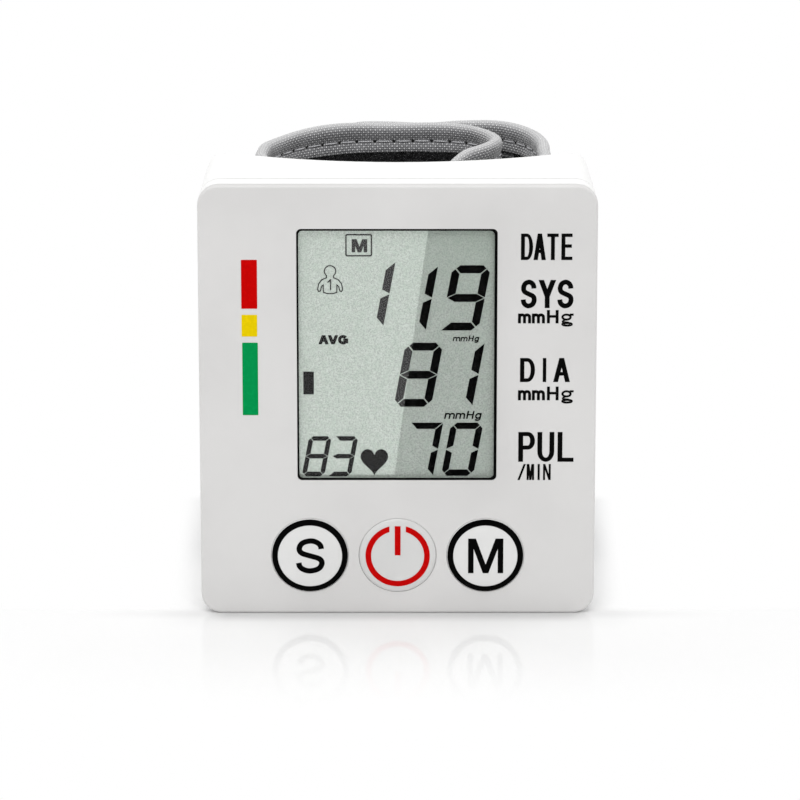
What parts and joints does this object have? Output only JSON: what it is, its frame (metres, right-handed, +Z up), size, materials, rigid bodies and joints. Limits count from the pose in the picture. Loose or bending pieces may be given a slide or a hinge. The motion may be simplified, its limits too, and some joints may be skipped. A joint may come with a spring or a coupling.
{
  "type": "wrist blood pressure monitor",
  "caption": "Upright display unit with round push buttons below a window, and a springy wrap-round wrist cuff in two overlapping flaps behind it.",
  "frame": {"origin": "on the base plane, below the middle of the whole object's box", "axes": "+X to the right of the display, +Y from the display towards the wrist, +Z up"},
  "size_m": [0.07, 0.0622, 0.079],
  "materials": {
    "fascia": "fine satin, light warm grey",
    "window": "clear, polished",
    "case": "satin white",
    "display_glass": "grey-green reflective display",
    "button": "satin light grey",
    "dark_rubber": "matt",
    "board": "green solder mask",
    "dark_plastic": "fine matt",
    "steel": "nickel plated",
    "cell_jacket": "plain printed sleeve",
    "hose": "translucent silicone",
    "woven_cover": "coarse grey weave",
    "mesh_lining": "black knitted mesh",
    "bladder": "smooth film"
  },
  "bodies": {
    "case": {"fascia_panel": "fascia", "window_lens": "window", "front_case": "case", "rear_case": "case", "case_screw_lower_left": "steel", "case_screw_lower_right": "steel", "case_screw_upper_left": "steel", "case_screw_upper_right": "steel", "lcd_gasket": "dark_rubber", "lcd_glass": "display_glass", "lcd_frame": "dark_plastic", "lcd_connector": "dark_rubber", "main_board": "board", "controller_chip": "dark_plastic", "buzzer": "dark_plastic", "pressure_sensor": "dark_plastic", "board_screw_left": "steel", "board_screw_right": "steel", "set_switch": "dark_plastic", "power_switch": "dark_plastic", "memory_switch": "dark_plastic", "battery_tray": "dark_plastic", "battery_cell_front": "cell_jacket", "battery_cell_rear": "cell_jacket", "battery_spring_lower": "steel", "battery_spring_upper": "steel", "battery_contact_lower": "steel", "battery_contact_upper": "steel", "pump_motor": "steel", "pump_head": "dark_plastic", "pump_sleeve": "dark_rubber", "exhaust_valve": "dark_plastic", "air_manifold": "dark_plastic", "pump_hose": "hose", "valve_hose": "hose", "sensor_hose": "hose", "cuff_hose": "hose", "cuff_nozzle": "dark_plastic", "cuff_mount_plate": "dark_plastic", "cuff_saddle_cover": "woven_cover", "cuff_saddle_lining": "mesh_lining", "bladder_saddle": "bladder"},
    "battery_cover": {"battery_cover": "case"},
    "set_button": {"set_button": "button"},
    "power_button": {"power_button": "button"},
    "memory_button": {"memory_button": "button"},
    "cuff_inner_back": {"loop_patch": "woven_cover", "cuff_inner_back_cover": "woven_cover", "cuff_inner_back_lining": "mesh_lining", "bladder_inner_back": "bladder"},
    "cuff_inner_side": {"cuff_inner_side_cover": "woven_cover", "cuff_inner_side_lining": "mesh_lining", "bladder_inner_side": "bladder"},
    "cuff_outer_side": {"cuff_outer_side_cover": "woven_cover", "cuff_outer_side_lining": "mesh_lining", "stiffener_outer_side": "dark_plastic"},
    "cuff_outer_back": {"cuff_outer_back_cover": "woven_cover", "hook_patch": "mesh_lining", "stiffener_outer_back": "dark_plastic"}
  },
  "joints": [
    {"name": "set_press", "type": "slide", "parent": "case", "child": "set_button", "axis": [0, 1, 0], "range_m": [0, 0.0005], "stiffness_N_per_m": 800, "springref_m": -0.001},
    {"name": "power_press", "type": "slide", "parent": "case", "child": "power_button", "axis": [0, 1, 0], "range_m": [0, 0.0005], "stiffness_N_per_m": 800, "springref_m": -0.001},
    {"name": "memory_press", "type": "slide", "parent": "case", "child": "memory_button", "axis": [0, 1, 0], "range_m": [0, 0.0005], "stiffness_N_per_m": 800, "springref_m": -0.001},
    {"name": "battery_cover_slide", "type": "slide", "parent": "case", "child": "battery_cover", "axis": [-1, 0, 0], "range_m": [0, 0.012]},
    {"name": "outer_flap_root", "type": "hinge", "parent": "case", "child": "cuff_outer_side", "pos_m": [0.02717, 0.00375, 0.0395], "axis": [0, 0, -1], "range_deg": [0, 75], "stiffness_Nm_per_rad": 0.02},
    {"name": "outer_flap_bend", "type": "hinge", "parent": "cuff_outer_side", "child": "cuff_outer_back", "pos_m": [0.02289, 0.0263, 0.0395], "axis": [0, 0, -1], "range_deg": [0, 45], "stiffness_Nm_per_rad": 0.01},
    {"name": "inner_flap_root", "type": "hinge", "parent": "case", "child": "cuff_inner_side", "pos_m": [-0.0254, 0.00378, 0.0395], "axis": [0, 0, 1], "range_deg": [0, 30], "stiffness_Nm_per_rad": 0.02},
    {"name": "inner_flap_bend", "type": "hinge", "parent": "cuff_inner_side", "child": "cuff_inner_back", "pos_m": [-0.01881, 0.02216, 0.0395], "axis": [0, 0, 1], "range_deg": [0, 30], "stiffness_Nm_per_rad": 0.01}
  ],
  "couplings": [
    {"joint": "outer_flap_bend", "follows": "outer_flap_root", "ratio": 0.6},
    {"joint": "inner_flap_root", "follows": "outer_flap_root", "ratio": 0.4},
    {"joint": "inner_flap_bend", "follows": "outer_flap_root", "ratio": 0.4}
  ]
}
